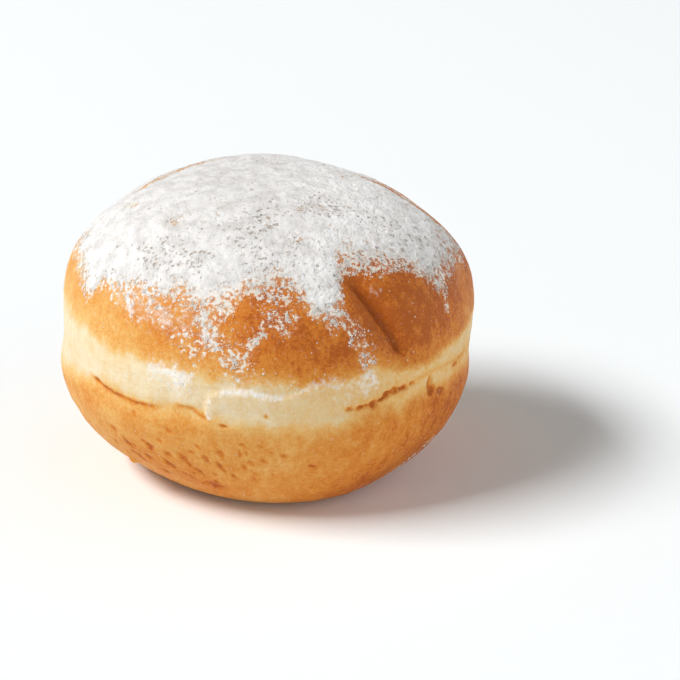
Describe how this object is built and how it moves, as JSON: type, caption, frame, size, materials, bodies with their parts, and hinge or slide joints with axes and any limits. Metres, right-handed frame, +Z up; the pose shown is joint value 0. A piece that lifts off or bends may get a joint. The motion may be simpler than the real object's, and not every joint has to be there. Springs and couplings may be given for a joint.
{
  "type": "jelly filled doughnut",
  "caption": "Round yeast-raised jelly filled doughnut with a browned crust, a pale band round its waist and powdered sugar on its dome.",
  "frame": {"origin": "centre of the doughnut's outline at the level of the foot it rests on", "axes": "+Z up out of the sugared dome, -Y towards the side with the sugar's front edge, +X to the right of it"},
  "size_m": [0.086, 0.0858, 0.0611],
  "materials": {
    "fried_dough": "baked crust with a soft sheen, paler and more matte at the waist",
    "powdered_sugar": "matte fine powder"
  },
  "bodies": {
    "root": {"doughnut": "fried_dough"}
  },
  "joints": []
}
